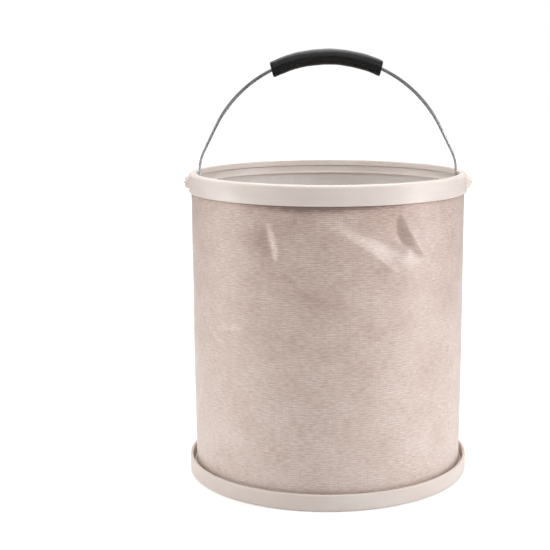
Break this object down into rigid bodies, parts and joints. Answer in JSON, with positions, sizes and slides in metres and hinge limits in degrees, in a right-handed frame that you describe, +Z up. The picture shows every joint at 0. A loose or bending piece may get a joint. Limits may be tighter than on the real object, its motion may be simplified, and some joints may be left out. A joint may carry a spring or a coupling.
{
  "type": "collapsible water bucket",
  "caption": "Round fold-flat camping bucket: coated cloth wall and floor clamped in moulded rim and base rings, with a swinging wire bail and foam grip.",
  "frame": {"origin": "middle of the footprint, on the ground under the base ring", "axes": "+Z up along the bucket's axis; the bail pivots about X and stands in the XZ plane; -Y is the front that the picture looks at"},
  "size_m": [0.2712, 0.269, 0.3995],
  "materials": {
    "ivory_plastic": "injection-moulded ivory polypropylene, satin",
    "coated_cloth": "plain-woven polyester canvas with a thin matt waterproof coating, pale beige",
    "piping": "extruded off-white vinyl bead",
    "steel_wire": "bright drawn steel wire",
    "foam": "closed-cell black foam sleeve, matt with a soft sheen"
  },
  "bodies": {
    "base": {"base_outer_ring": "ivory_plastic", "base_clamp_hoop": "ivory_plastic", "base_hem_bead": "piping", "floor_panel": "coated_cloth", "wall_panel": "coated_cloth"},
    "rim": {"rim_outer_ring": "ivory_plastic", "rim_clamp_hoop": "ivory_plastic", "rim_hem_bead": "piping"},
    "bail": {"bail_wire": "steel_wire", "bail_grip": "foam"}
  },
  "joints": [
    {"name": "rim_collapse", "type": "slide", "parent": "base", "child": "rim", "axis": [0, 0, 1], "range_m": [-0.2541, 0], "deforming": ["wall_panel"]},
    {"name": "bail_swing", "type": "hinge", "parent": "rim", "child": "bail", "pos_m": [0, 0, 0.277], "axis": [1, 0, 0], "range_deg": [-90, 90]}
  ]
}
